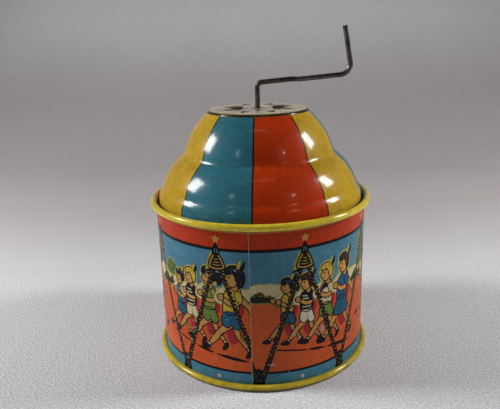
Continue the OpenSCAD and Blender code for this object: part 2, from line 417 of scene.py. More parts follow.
def litho_material(name, coat):
    """Printed tinplate: ink from the mesh, halftone dots, yellowed varnish, rubbed and scratched."""
    n = Nodes(name)
    place = n.place()
    bare_ink, dotted, dirty = n.add("SeparateColor", {0: n.attribute("finish")}).outputs

    patch = n.noise(place, 26, 4, 0.55)
    mottle = n.noise(place, 2.2, 5, 0.65)
    grain = n.noise(place, 0.35, 2, 0.6)

    cells = n.add("TexVoronoi", {"Vector": place, "Scale": 1 / 0.42, "Randomness": 0.35})
    dots = n.times(n.ramp(cells.outputs["Distance"], 0.36, 0.5), dotted)

    colour = n.mix(n.times(dots, 0.12), n.attribute("ink"), linear("a9a78c"))
    colour = n.mix(n.ramp(patch, 0.35, 0.7, 0.0, 0.22), colour, linear("6a5526"), "MULTIPLY")
    colour = n.mix(n.ramp(mottle, 0.3, 0.75, 0.0, 0.3), colour, linear("8d7f66"), "MULTIPLY")
    colour = n.mix(n.ramp(grain, 0.35, 0.7, 0.0, 0.12), colour, linear("e8dcc0"), "OVERLAY")

    grime = n.times(n.ramp(n.noise(place, 4.5, 5, 0.7), 0.46, 0.66), dirty)
    colour = n.mix(grime, colour, linear("5c5722"))

    scratch_field = n.noise(n.scaled(place, (0.3, 0.3, 1.6)), 1.6, 3, 0.6)
    scratch_where = n.noise(place, 9, 2, 0.5)
    scratches = n.times(n.ramp(scratch_field, 0.665, 0.685), n.ramp(scratch_where, 0.52, 0.62))
    specks = n.times(n.ramp(n.noise(place, 0.9, 2, 0.5), 0.72, 0.745), n.ramp(patch, 0.45, 0.6))
    pointy = n.add("NewGeometry", {}).outputs["Pointiness"]
    edges = n.times(n.ramp(pointy, 0.54, 0.60), n.ramp(mottle, 0.42, 0.6))
    rubbed = n.math("MAXIMUM", n.math("MAXIMUM", scratches, specks), edges)
    bare = n.math("MAXIMUM", rubbed, bare_ink, clamp=True)

    tin_tone = n.mix(mottle, linear("b5b0a6"), linear("8a8376"))
    rust = n.ramp(n.noise(place, 3.0, 4, 0.7), 0.6, 0.7)
    tin_tone = n.mix(n.times(rust, 0.5), tin_tone, linear("6d4a2c"))
    colour = n.mix(bare, colour, tin_tone)

    n.set(Base_Color=colour, Metallic=n.times(bare, 0.85),
          Roughness=n.ramp(patch, 0.3, 0.7, 0.3, 0.42), Coat_Weight=coat,
          Coat_Roughness=n.ramp(mottle, 0.3, 0.7, 0.1, 0.18), Coat_IOR=1.5, IOR=1.45,
          Specular_IOR_Level=0.06)
    dents = n.bump(n.noise(place, 9, 1.5, 0.4), 0.35, 0.35)
    peel = n.bump(n.noise(place, 1.1, 2, 0.5), 0.18, 0.03, Normal=dents)
    n.set(Normal=n.bump(n.math("SUBTRACT", 1.0, rubbed), 0.3, 0.02, Normal=peel), Coat_Normal=dents)
    return n.material


def metal_material(name, light, dark, rust="6d4a2c", rough=(0.25, 0.5), grain=0.5, rusted=0.3,
                   metallic=0.9):
    """Bare metal: two tones by noise, fine marks, spots of rust or tarnish."""
    n = Nodes(name)
    place = n.place()
    cloud = n.noise(place, 6, 5, 0.6)
    fine = n.noise(place, grain, 3, 0.6)
    spots = n.times(n.ramp(n.noise(place, 1.4, 4, 0.65), 0.56, 0.68), rusted)
    colour = n.mix(n.ramp(cloud, 0.3, 0.7), linear(light), linear(dark))
    colour = n.mix(n.ramp(fine, 0.35, 0.7, 0.0, 0.35), colour, linear(dark))
    colour = n.mix(spots, colour, linear(rust))
    n.set(Base_Color=colour, Metallic=n.ramp(spots, 0.0, 1.0, metallic, 0.2),
          Roughness=n.ramp(fine, 0.3, 0.7, *rough),
          Normal=n.bump(fine, 0.3, 0.03, Normal=n.bump(cloud, 0.2, 0.15)))
    return n.material


LITHO = litho_material("printed_tin", 0.5)
WALL_LITHO = litho_material("printed_tin_wall", 0.14)
BEAD_LITHO = litho_material("printed_tin_bead", 0.65)


# ---- dome: nine printed gores, brown shoulder ring and pierced cream top ----
GORES = 9
GORE_INKS = ("yellow", "teal", "red")
FIRST_GORE = math.radians(270 - 84)      # where the first yellow gore starts
GORE_EDGES = [FIRST_GORE + 2 * math.pi * g / GORES for g in range(GORES + 1)]
GORE_EDGES[0] -= math.radians(7)         # the first gore is wider than the others
GORE_EDGES[-1] -= math.radians(7)
LINE_W = 0.55                            # dark line between two gores
TOP_FLAT_R = 18.9
TOP_EDGE = (20.3, DOME_TOP - 1.1)
CREASE_1 = (30.3, 82.7)
CREASE_2 = (39.4, 70.5)
SKIRT_END = (SKIRT_R, 64.6)
HOLE_R = 2.2
SHOULDER_STEPS, LOBE_STEPS, SKIRT_STEPS = 5, 14, 8
CREAM_STEPS = 2                          # of the shoulder's steps, those that are still cream


def dome_profile(inset):
    """Outline of the dome's sheet from the flat top's edge to the flange, without repeated points."""
    parts = [
        bulge((TOP_FLAT_R, DOME_TOP), TOP_EDGE, 0.3, SHOULDER_STEPS, inset),
        bulge(TOP_EDGE, CREASE_1, 1.5, LOBE_STEPS, inset),
        bulge(CREASE_1, CREASE_2, 1.4, LOBE_STEPS, inset),
        bulge(CREASE_2, SKIRT_END, 0.6, SKIRT_STEPS, inset),
    ]
    line = [spot for k, part in enumerate(parts) for spot in (part if k == 0 else part[1:])]
    for k in (SHOULDER_STEPS + 2 * LOBE_STEPS, SHOULDER_STEPS + LOBE_STEPS):    # creases, a little round
        p, c, q = (Vector(spot) for spot in line[k - 1:k + 2])
        line[k:k + 1] = [tuple(p * (1 - s) ** 2 + c * 2 * s * (1 - s) + q * s ** 2)
                         for s in (0.17, 0.34, 0.5, 0.66, 0.83)]
    return line


def gore_angles(r, panels):
    """Directions of the columns at radius r: each gore is a line of constant width, then its panels."""
    half = LINE_W / 2 / r
    out = []
    for g in range(GORES):
        start, end = GORE_EDGES[g:g + 2]
        out.append(start - half)
        out += [start + half + (end - start - 2 * half) * k / panels for k in range(panels)]
    return out


def dome_holes():
    """Outlines of what is cut through the flat top, each a list of (x, y)."""
    holes = [[(HOLE_R * math.cos(a), HOLE_R * math.sin(a)) for a in turn(32)]]
    for count, base_r, tip_r, w in ((8, 11.4, 16.4, 4.0), (6, 9.9, 6.9, 2.6)):
        for i in range(count):
            a = (i + 0.5) * 2 * math.pi / count
            corners = [Vector(spot) for spot in ((tip_r, 0), (base_r, -w / 2), (base_r, w / 2))]
            holes.append([tuple(Matrix.Rotation(a, 2) @ c) for c in rounded(corners, 0.25)])
    for side in (-1, 1):
        x, dx, dy = side * 6.4, 0.55, 2.65
        holes.append([(x - dx, -dy), (x + dx, -dy), (x + dx, dy), (x - dx, dy)])
    return holes


def rounded(corners, r):
    """Outline with each corner cut back by r and rounded."""
    out = []
    for k, corner in enumerate(corners):
        before = (corners[k - 1] - corner).normalized() * r
        after = (corners[(k + 1) % len(corners)] - corner).normalized() * r
        out += [corner + before * (1 - t) ** 2 + after * t ** 2 for t in (0, 0.25, 0.5, 0.75, 1)]
    return out


def flat_triangles(outer, holes):
    """Points and triangles that fill the outline outer less the holes; given points stay exact."""
    points, edges = [], []
    for loop in [outer] + holes:
        draw(points, edges, loop)
    verts, _, tris, sources, _, _ = delaunay_2d_cdt(points, edges, [], 0, 1e-5, True)
    given = [tuple(p) for loop in [outer] + holes for p in loop]
    verts = [given[source[0]] if source else tuple(v) for v, source in zip(verts, sources)]
    middles = middles_of(verts, tris)
    solid = wound_round(np.array(outer), middles)
    for hole in holes:
        solid &= ~wound_round(np.array(hole), middles)
    return verts, [tri for tri, kept in zip(tris, solid) if kept]


def build_dome():
    """The dome's sheet with both its faces, the foot flange, the flat top and what is cut through it."""
    shell = Shell()
    panels = 14
    outer, inner = dome_profile(0), dome_profile(TIN)
    flange_r = RIM_R - RIM_BEAD_R
    outer += [(SKIRT_R, FLANGE_Z + TIN), (flange_r, FLANGE_Z + TIN), (flange_r, FLANGE_Z)]
    inner += [(SKIRT_R - TIN, FLANGE_Z)]
    skin = outer + inner[::-1]
    reach = lengths(outer)
    widest = TOP_FLAT_R + reach[-1] + 0.5

    def bake(x, y, s, inside=False):
        """Polar layout round the axis; the inner face is a small copy in a corner."""
        rho, a = (TOP_FLAT_R + s) / widest / 2, math.atan2(y, x)
        rho, middle = (rho * 0.16, 0.085) if inside else (rho, 0.5)
        return (middle + rho * math.cos(a), middle + rho * math.sin(a))

    columns = [gore_angles(r, panels) for r, _ in skin]
    distance = reach + lengths(inner)[::-1]
    count = len(columns[0])
    for j in range(len(skin) - 1):
        inside = j >= len(outer) - 1
        for i in range(count):
            gore, part = divmod(i, panels + 1)
            corners, uvs = [], []
            for column, row in ((i, j), (i + 1, j), (i + 1, j + 1), (i, j + 1)):
                x, y, z = polar(skin[row][0], columns[row][column % count], skin[row][1])
                s = distance[row] if not (inside and row == j == len(outer) - 1) else distance[row + 1]
                corners.append((x, y, z))
                uvs.append(bake(x, y, s, inside))
            ink = GORE_INKS[gore % 3]
            if inside or j >= len(outer) - 4:
                ink = "tin"
            elif j < SHOULDER_STEPS:
                ink = "paper" if j < CREAM_STEPS else "umber"
            elif part == 0:
                ink = "black"
            shell.face(corners, ink, uvs)

    holes = dome_holes()
    for row, z, ink in ((0, DOME_TOP, "paper"), (-1, DOME_TOP - TIN, "tin")):
        rim = [polar(skin[row][0], a, 0)[:2] for a in columns[row]]
        points, tris = flat_triangles(rim, holes)
        for tri in tris:
            shell.face([(points[k][0], points[k][1], z) for k in tri], ink,
                       [bake(*points[k], math.hypot(*points[k]) - TOP_FLAT_R, row == -1) for k in tri])
    # the holes' cut walls are painted black: painted shade, so the holes read dark
    for hole in holes:
        for p, q in zip(hole, hole[1:] + hole[:1]):
            uv = [bake(*spot, math.hypot(*spot) - TOP_FLAT_R) for spot in (p, q)]
            wall = [(*p, DOME_TOP), (*q, DOME_TOP), (*q, DOME_TOP - TIN), (*p, DOME_TOP - TIN)]
            shell.face(wall, "black", [uv[0], uv[1], uv[1], uv[0]])
    shell.piece("dome_print", LITHO, "printed_dome", "dome_lid", 28)


build_dome()


# ---- rolled rim and base pan ----
def build_rim():
    """The wall's top edge, rolled outwards into a hollow bead that stays open against the wall."""
    shell = Shell()
    outer = arc((RIM_R, RIM_Z), RIM_BEAD_R, 180, -118, 30)
    lip = arc((RIM_R, RIM_Z), RIM_BEAD_R - TIN, -118, 180, 24)
    section = [(RIM_R - RIM_BEAD_R, WALL_TOP)] + outer + lip + [(WALL_R, WALL_TOP)]
    # lemon: the bead's yellow, lightened in part as a painted sheen along the top-lit rim
    lathe(shell, section, lambda j: "lemon")
    shell.piece("rim_curl", BEAD_LITHO, "printed_wall", "drum_wall", 50)


def build_pan():
    """The base pan: a bead crimped round the wall's foot, a groove and a raised floor."""
    shell = Shell()
    r, z = BASE_R, BASE_BEAD_Z
    drop = math.degrees(math.asin(BASE_BEAD_Z / BASE_BEAD_R))
    into_wall = math.degrees(math.acos((WALL_R - r) / BASE_BEAD_R))
    bead = arc((r, z), BASE_BEAD_R, into_wall, -drop, 16)
    rise = math.degrees(math.asin((z - PAN_Z) / BASE_BEAD_R))
    under = arc((r, z), BASE_BEAD_R, 180 + drop, 180 + rise, 6)
    inner_r = RIM_R - RIM_BEAD_R
    ring_r = FLOOR_R + 1.5                  # the groove's outer edge
    top = PAN_Z + TIN
    section = bead + under + [
        (ring_r, PAN_Z), (FLOOR_R, PAN_Z + FLOOR_RISE), (FLOOR_R - 12, PAN_Z + FLOOR_RISE),
        (0, PAN_Z + FLOOR_RISE), (0, top + FLOOR_RISE), (FLOOR_R, top + FLOOR_RISE), (ring_r, top),
        (inner_r - TIN, top), (inner_r - TIN, UPSTAND_Z), (inner_r, UPSTAND_Z), (inner_r, top),
        (WALL_R, top)]
    # the last rubbed steps of the bead are printed a darker olive, with bare tin below them
    painted, rubbed = len(bead) - 1, 5

    def ink_of(j):
        if j < painted - rubbed or j == len(section) - 1:
            return "base_yellow"
        return "dark_olive" if j < painted else "tin"

    lathe(shell, section, ink_of)
    shell.piece("base_pan_print", BEAD_LITHO, "yellow_tin", "base_pan", 40)


build_rim()
build_pan()


# ---- the picture on the wall ----
DEG = math.radians(1) * WALL_R          # millimetres of wall in one degree
HALF_PRINT = 181.6 * DEG                # the print repeats after this length
TOWER_PITCH = 45.05 * DEG
FIRST_TOWER = 27.1 * DEG
GROUP_PITCH = 59.8 * DEG
FIRST_RUNNER = 18.1 * DEG
BLUE_Z, LINE_LOW_Z, GROUND_Z, HORIZON_Z = 2.0, 6.4, 7.4, 36.4
LINE_HIGH_Z, BAND_Z, BAND_TOP_Z = 54.9, 56.1, 62.5
TOWERS = 4                              # in one length of the print
COLUMNS = 59
SEAM_EDGE = 0.16                        # bare cut edge of the outer layer
LAP_RUN = 9 * DEG                       # the outer layer settles onto the drum over this length


def bands(sheet):
    """Level bands from the base bead up to the rim bead; the top umber band is painted shadow under the
    bead.
    """
    # umber, the topmost band, is painted shadow: the shade under the rim bead
    levels = (("lemon", WALL_FOOT), ("blue", BLUE_Z), ("black", LINE_LOW_Z), ("ground", GROUND_Z),
              ("sky", HORIZON_Z), ("black", LINE_HIGH_Z), ("band_red", BAND_Z), ("tan", BAND_TOP_Z - 0.4),
              ("umber", BAND_TOP_Z))
    tops = [z for _, z in levels[1:]] + [sheet.high]
    for (ink, low), high in zip(levels, tops):
        sheet.fill(ink, [(0, low), (sheet.period, low), (sheet.period, high), (0, high)])


def clouds(sheet):
    """Cream cloud bank on the horizon, its top a sum of waves that close round the print."""
    count = 72
    for ink, top in (("olive", 41.8), ("cream", 41.4)):
        edge = []
        for k in range(count + 1):
            a = 2 * math.pi * k / count
            wave = 1.3 * math.sin(3 * a + 0.4) + 0.55 * math.sin(8 * a) + 0.25 * math.sin(19 * a)
            edge.append((sheet.period * k / count, top + wave))
        sheet.fill(ink, [(0, HORIZON_Z), (sheet.period, HORIZON_Z)] + edge[::-1])


def bush(sheet, u):
    """Low dark shrubs on the horizon with an olive edge, falling away to the right."""
    crown = blob(u, HORIZON_Z, (0.2, 1.4), (1.4, 2.5), (3.0, 3.3), (4.4, 3.0), (5.2, 1.9), (7.0, 1.9),
                 (8.6, 1.2), (11.0, 0.8), (13.4, 0.3), (13.6, -0.5), (-0.4, -0.6))
    sheet.inked("moss", crown, 0.4, "olive")
    for x, y in ((0.9, 1.2), (2.4, 2.1), (3.8, 1.3), (5.8, 0.9), (8.0, 0.6), (10.2, 0.2)):
        for lift, ink in ((0, "black"), (0.55, "olive")):
            spots = [(u + x - 0.9, HORIZON_Z + y + lift), (u + x, HORIZON_Z + y + lift + 0.35),
                     (u + x + 0.8, HORIZON_Z + y + lift)]
            sheet.fill(ink, stroke(spots, (0.16, 0.34, 0.16)))


def tree(sheet, u):
    """Round green tree standing on the horizon."""
    sheet.inked("brown", stroke([(u + 0.3, HORIZON_Z - 0.5), (u, HORIZON_Z + 5)], (1.4, 0.9)), 0.2)
    leaves = blob(u, HORIZON_Z, (-4.2, 5.2), (-3.6, 8.0), (-1.0, 10.2), (2.2, 9.6), (4.4, 7.4), (4.0, 4.8),
                  (1.4, 3.8), (-1.8, 3.9))
    sheet.inked("leaf", leaves, 0.3, "halo")
    for x, y in ((-2.6, 6.2), (-0.6, 8.2), (1.8, 6.4), (2.6, 8.0), (-0.2, 5.2)):
        sheet.fill("moss", smooth([(u + x - 1.1, HORIZON_Z + y), (u + x, HORIZON_Z + y + 0.7),
                                   (u + x + 1.1, HORIZON_Z + y), (u + x, HORIZON_Z + y + 0.2)], 2))


def chain_leg(sheet, top, foot, side):
    """A black leg wound with chain: bumps along its outer edge and two rows of coloured links."""
    along = (foot - top).normalized()
    across = Vector((-along.y, along.x))
    length = (foot - top).length
    slope = math.degrees(math.atan2(along.y, along.x))
    links = 29
    for k in range(links):
        spot = top + along * length * (k + 0.3) / links + across * side * (0.62 + 0.12 * (k % 3))
        sheet.fill("black", oval(spot, 0.74, 0.36 + 0.1 * (k % 2), slope + 32 * side, 8))
    sheet.fill("black", stroke([top - along * 1.2, (top + foot) / 2, foot + along], (1.3, 1.6, 2.2)))
    for k in range(links):
        for row, lean in ((-1, 42), (1, -42)):
            spot = top + along * length * (k + 0.5 + row * 0.24) / links + across * row * 0.3
            ink = ("steel", "rust", "halo", "umber", "rust")[(k * 2 + (row > 0)) % 5]
            sheet.fill(ink, oval(spot, 0.44, 0.17, slope + lean, 6))


def tower(sheet, u):
    """Two splayed chain-wound legs under a crossbar, a slatted lantern, its cap and a star."""
    spread, foot_z, top_z = 22.7 * DEG, 2.4, 47.2
    glow = blob(u, 0, (-4.2, 47), (-4, 49.4), (-2.9, 52.3), (-1.9, 54), (-1, 50), (-2.4, 47))
    sheet.inked("lime", glow, 0.35, "green")
    for side in (-1, 1):
        chain_leg(sheet, Vector((u + side * 1.5, top_z)), Vector((u + side * spread, foot_z)), side)
    meet = u + spread
    foot = blob(meet, 0, (-1.2, 8.4), (-1.9, 4.6), (-2.1, 2), (2.1, 2), (1.9, 4.6), (1.2, 8.4))
    sheet.fill("black", foot)
    for x, z, tilt in ((-1.0, 5.8, 60), (1.0, 5.8, 120), (-0.5, 4.0, 70), (0.6, 3.7, 110), (0, 6.8, 90)):
        sheet.fill("sky", oval((meet + x, z), 0.45, 0.13, tilt, 6))
    sheet.fill("black", stroke([(u - 4.6, 46.7), (u - 1, 47.8), (u + 3.8, 48.0)], (0.8, 1.3, 0.8)))
    body = blob(u, 0, (-3.1, 48.4), (-2.9, 50.4), (-1.9, 52.6), (-0.9, 53.8), (0.9, 53.8), (1.9, 52.6),
                (2.9, 50.4), (3.1, 48.4), (0, 47.6))
    sheet.fill("black", grown(body, 0.35))
    sheet.fill("tan", grown(body, -0.25))
    sheet.fill("black", grown(body, -0.75))
    for z, half, ink in ((49.7, 1.75, "olive"), (50.8, 1.35, "tan"), (51.9, 0.85, "olive")):
        sheet.fill(ink, stroke([(u - half, z), (u, z - 0.35), (u + half, z)], (0.15, 0.42, 0.15)))
    sheet.fill("black", blob(u, 0, (-1.3, 53.4), (-1.25, 56), (0, 57.9), (1.25, 56), (1.3, 53.4)))
    for side in (-1, 1):
        sheet.fill("sky", stroke([(u + side * 0.5, 54.3), (u + side * 0.35, 55.6)], (0.2, 0.34)))
    sheet.inked("tan", star((u + 0.1, 59.4), 1.6), 0.12, "straw")
    sheet.inked("white", star((u - 1.0, 3.9), 1.2), 0.14, "navy")


LOOKS = {
    # name: (shirt, pattern, shorts, hair, style)
    "ponytail": ("straw", None, "cloth_blue", "navy", "tail"),
    "stripes": ("navy", "white", "white", "brown", "cap"),
    "blond": ("cream", "yoke", "green", "straw", "cap"),
    "blue_dress": ("cloth_blue", "dress", "cloth_blue", "brown", "cap"),
    "teal_top": ("cloth_teal", None, "cloth_blue", "navy", "cap"),
    "blond_stripes": ("navy", "white", "cream", "straw", "cap"),
    "olive_top": ("olive", None, "green", "navy", "tail"),
    "yellow_top": ("straw", None, "cloth_blue", "navy", "bob"),
}
GROUPS = (
    # each group's runners: (degrees along from the first, height of the head, size, look)
    ((0, 41.5, 0.84, "ponytail"), (10, 42.0, 0.9, "stripes"), (21.4, 43.9, 1.0, "blond"),
     (34, 45.0, 1.1, "blue_dress")),
    ((0, 41.0, 0.82, "olive_top"), (9, 42.3, 0.9, "teal_top"), (20.5, 43.8, 1.0, "blond_stripes"),
     (33, 45.0, 1.12, "yellow_top")),
    ((0, 40.7, 0.85, "teal_top"), (8, 42.7, 0.93, "blond_stripes"), (19.5, 44.3, 1.02, "olive_top"),
     (32.5, 45.0, 1.14, "yellow_top")),
)

HAIR = {
    "cap": ((-2.2, 1.7), (-2.1, 2.9), (-0.6, 3.7), (1.4, 3.6), (2.9, 2.0), (2.8, -0.9), (1.8, -1.9),
            (1.3, -0.3), (0.8, 1.0), (-0.2, 1.9), (-1.2, 1.5)),
    "bob": ((-2.5, 1.5), (-2.1, 2.9), (-0.4, 4.0), (1.7, 3.8), (3.4, 2.1), (3.8, -0.2), (3.1, -2.5),
            (1.8, -2.6), (1.3, -0.8), (0.8, 1.0), (-0.3, 1.9), (-1.4, 1.3)),
    "tail": ((-2.5, 1.6), (-2.0, 3.2), (-0.4, 3.9), (1.7, 3.5), (3.1, 2.0), (4.9, 1.6), (5.5, -0.6),
             (4.3, -2.4), (3.5, -0.8), (2.0, -1.2), (1.3, -0.2), (0.8, 1.0), (-0.4, 1.8), (-1.4, 1.2)),
}


def runner(sheet, u, z, size, look, first, last):
    """A cartoon child running to the left, leaning into it; (u, z) is the middle of the head."""
    shirt, pattern, shorts, hair, style = LOOKS[look]
    line = 0.46
    lean = 0.22 if last else 0.1

    def at(*spots):
        return [(u + (x + lean * max(-10, min(0, y + 3))) * size, z + y * size) for x, y in spots]

    def patch(ink, *spots):
        sheet.fill(ink, smooth(at(*spots)))

    def part(ink, *spots):
        sheet.inked(ink, smooth(at(*spots)), line)

    def limb(ink, widths, *spots):
        sheet.inked(ink, stroke(at(*spots), [w * size for w in widths]), line)

    def mark(ink, widths, *spots):
        sheet.fill(ink, stroke(at(*spots), widths))

    # pale glow round chest and head, misfit red between the limbs
    puff = smooth(at((-1.8, -3.2), (-3.4, -3.4), (-4.9, -5.0), (-5.4, -7.4), (-4.4, -8.8), (-1.4, -9.0)))
    sheet.inked("cream", puff, 0.35, "olive")
    patch("halo", (-3.4, 0.6), (-3.1, 2.4), (-2.2, 4.0), (0.2, 4.9), (2.9, 4.2), (3.8, 1.8), (3.3, -2.4),
          (0, -4), (-1.9, -3.9), (-2.7, -2.4))
    patch("crimson", (3.0, -9.6), (4.6, -8.6), (5.2, -12.4), (3.4, -14.2))
    patch("crimson", (-0.4, -19.4), (1.2, -17.6), (3.2, -18.6), (4.0, -21.4), (1.8, -23.4), (0.2, -22.4))

    # rear leg with its sock and shoe, then the front one
    limb("skin", (2.0, 1.3, 1.4, 0.9), (2.6, -16.4), (3.4, -20.0), (5.0, -22.2), (6.9, -25.0))
    part("cream", (6.3, -24.7), (7.0, -24.4), (7.6, -25.4), (6.9, -26.0))
    part("navy", (6.9, -25.6), (7.7, -25.3), (7.8, -26.4), (6.7, -27.7), (5.9, -27.8), (6.4, -26.7))
    limb("skin", (2.6, 1.8, 1.9, 0.9), (0.7, -16.2), (-2.6, -19.2), (-4.6, -21.8), (-7.2, -25.0))
    mark("black", (0.14, 0.34, 0.14), (-1.6, -19.4), (-2.2, -20.2), (-3.2, -20.9))
    mark("black", (0.14, 0.4, 0.14), (-3.8, -22.6), (-5.2, -23.9), (-6.4, -25.0))
    mark("black", (0.14, 0.36, 0.14), (3.9, -19.8), (4.5, -21.3), (5.9, -22.8))
    part("cream", (-6.6, -24.5), (-7.4, -24.2), (-8.0, -25.3), (-7.2, -25.8))
    part("navy", (-7.2, -25.2), (-7.1, -26.2), (-8.4, -26.3), (-9.7, -26.1), (-9.7, -25.6), (-8.4, -25.0))

    # far arm reaches forward on the first child and swings back on the last
    if last:
        limb("skin", (1.8, 1.5, 1.2), (1.9, -5.4), (4.8, -8.2), (6.4, -9.6), (8.4, -12.4))
        part("skin", (8.0, -12.0), (9.2, -12.4), (9.0, -13.8), (7.9, -13.2))
        mark("black", (0.14, 0.2), (3.4, -8.2), (4.0, -7.4))
    if first:
        limb("skin", (1.5, 1.2), (-0.6, -6.4), (-2.8, -8.4), (-5.6, -6.4))
        part("skin", (-5.2, -7.2), (-6.6, -6.8), (-6.9, -5.6), (-5.5, -5.5))

    # shirt with stripes, a yoke or two folds
    part(shirt, (-0.2, -3.4), (-2.0, -4.7), (-2.2, -7.4), (-1.1, -12.6), (2.8, -12.8), (3.2, -8.2),
         (2.9, -4.8), (1.5, -3.2))
    if pattern == "white":
        for k in range(6):
            low = -5.6 - 1.2 * k
            mark("white", (0.3, 0.46, 0.3), (-1.6 + 0.1 * k, low), (0.6, low - 0.25), (2.7, low))
    else:
        mark("black", (0.12, 0.24, 0.12), (-1.1, -8.4), (0.2, -9.6), (0.6, -10.8))
        mark("black", (0.12, 0.2, 0.12), (2.6, -9.2), (1.7, -10.6), (1.6, -11.6))
    if pattern == "yoke":
        patch("navy", (-0.2, -3.5), (-1.9, -4.8), (-2.0, -6.8), (0.4, -5.8), (2.9, -7.4), (2.8, -4.9),
              (1.4, -3.4))
    if pattern == "dress":
        part(shorts, (-1.0, -12.0), (-2.2, -15.4), (-2.6, -17.6), (1.0, -18.4), (4.9, -17.4), (4.0, -14.4),
             (2.8, -12.0))
        mark("black", (0.14, 0.26), (0.6, -13.0), (0.2, -17.4))
    else:
        part(shorts, (-1.1, -12.2), (-1.9, -15.8), (-0.2, -17.4), (1.4, -16.4), (2.8, -17.8), (4.5, -16.6),
             (3.8, -14.2), (2.9, -12.4))
    mark("black", (0.16, 0.3), (1.2, -14.4), (1.5, -16.6))
    mark("black", (0.4, 0.5), (-0.9, -12.5), (1.0, -12.9), (2.8, -12.5))

    # near arm: sleeve, then the forearm across the chest
    limb(shirt, (2.1, 1.7), (1.9, -5.2), (2.8, -7.0), (2.7, -8.4))
    limb("skin", (1.5, 1.2), (2.5, -8.9), (0.0, -8.9), (-3.0, -7.0))
    part("skin", (-2.6, -7.9), (-4.0, -7.6), (-4.4, -6.3), (-2.9, -5.9))
    mark("black", (0.1, 0.2), (-3.9, -7.0), (-3.1, -6.9))

    # neck, head, hair and ribbon
    limb("skin", (1.5, 1.7), (0.7, -2.0), (0.8, -3.8))
    part("skin", (-1.6, 2.0), (0.2, 2.5), (1.9, 1.2), (1.7, -1.2), (0.4, -2.8), (-1.2, -2.7), (-1.9, -1.6),
         (-2.5, -0.5), (-1.95, 0.5))
    part(hair, *HAIR[style])
    tint = "brown" if hair == "straw" else "cloth_blue"
    for x in (-0.9, 0.6, 1.9):
        mark(tint, (0.12, 0.26, 0.1), (x, 3.1 - 0.25 * abs(x)), (x + 0.6, 2.5), (x + 0.9, 1.6))
    sheet.inked("halo", smooth(at((1.5, 3.4), (1.8, 5.0), (2.9, 6.6), (2.8, 4.8), (2.3, 3.3))), 0.2)
    patch("black", (2.4, 3.0), (3.3, 4.8), (4.1, 6.0), (4.1, 4.0), (3.3, 2.6))

    # plain face: eye, brow, mouth and ear
    sheet.fill("black", oval(at((-1.1, 0.2))[0], 0.32 * size, 0.5 * size, 0, 8))
    mark("black", (0.25, 0.42, 0.25), (-1.8, 1.05), (-1.1, 1.3), (-0.3, 1.1))
    mark("crimson", (0.25, 0.5), (-1.7, -1.6), (-0.8, -1.7))
    mark("black", (0.2, 0.4, 0.2), (0.75, 0.2), (1.05, -0.3), (0.7, -0.8))


def race_line(sheet, u, width):
    """Broken dark line on the ground under a group."""
    for start, end, thick in ((-0.1, 0.34, 0.7), (0.37, 0.62, 1.1), (0.66, 1.08, 1.4)):
        spots = [(u + width * t, 16.2 - 4.3 * t) for t in (start, (start + end) / 2, end)]
        sheet.fill("black", stroke(spots, (0.4, thick, thick, 0.5)))


def wall_picture():
    """One length of the print; its second use is cut short where it goes under the lap."""
    seen = 360 * DEG - HALF_PRINT
    columns = [0, SEAM_EDGE] + [seen * k / COLUMNS for k in range(1, COLUMNS + 1)] + [HALF_PRINT]
    sheet = Print(columns, WALL_FOOT, WALL_TOP)
    bands(sheet)
    clouds(sheet)
    for g, group in enumerate(GROUPS):
        start = FIRST_RUNNER + GROUP_PITCH * g
        bush(sheet, start - 17.9 * DEG)
        if g != 0:
            tree(sheet, start - 7.5 * DEG)
        race_line(sheet, start - 4 * DEG, 40 * DEG)
        for k, (offset, z, size, look) in enumerate(group):
            runner(sheet, start + offset * DEG, z, size, look, k == 0, k == len(group) - 1)
    for k in range(TOWERS):
        tower(sheet, FIRST_TOWER + TOWER_PITCH * k)
    return sheet


# ---- drum wall: the print bent round, its start lapped over its end ----
WHOLE = 360 * DEG
PRINT_STARTS = (0, HALF_PRINT)          # the print is used twice, from here and here
BAKE_EDGE, BAKE_WIDTH = 0.005, 0.99     # left margin and width of the strips in the bake layout


def wall_spot(u, z):
    """A place on the printed face, which stands off by LAP_STEP where it laps over its own end."""
    t = min(u / LAP_RUN, 1)
    return polar(WALL_R + LAP_STEP * (1 - t * t * (3 - 2 * t)), SEAM + u / WALL_R, z)


def snapped(value, marks):
    """The mark that a cut point lies on, as the triangles' points are a hair off."""
    near = min(marks, key=lambda mark: abs(mark - value))
    return near if abs(near - value) < 0.001 else round(value, 4)


def wall_face(shell, sheet, edges, ends):
    """The printed face, twice the length of the print. edges and ends take the points found on them."""
    points, tris = sheet.triangles()
    tall = sheet.high - sheet.low
    strip = BAKE_WIDTH * tall / HALF_PRINT
    for row, start in enumerate(PRINT_STARTS):
        for tri, ink in tris:
            spots = [(snapped(points[k].x + start, (0, HALF_PRINT, WHOLE)), snapped(points[k].y, edges))
                     for k in tri]
            reach = max(u for u, _ in spots)
            if reach > WHOLE:
                continue
            uvs = [(BAKE_EDGE + BAKE_WIDTH * (u - start) / HALF_PRINT,
                    BAKE_EDGE + row * (strip + 0.008) + strip * (z - sheet.low) / tall) for u, z in spots]
            shell.face([wall_spot(u, z) for u, z in spots], "tin" if reach < SEAM_EDGE + 0.01 else ink, uvs)
            for u, z in spots:
                if z in edges:
                    edges[z].add(u)
                if u in ends:
                    ends[u].add(z)


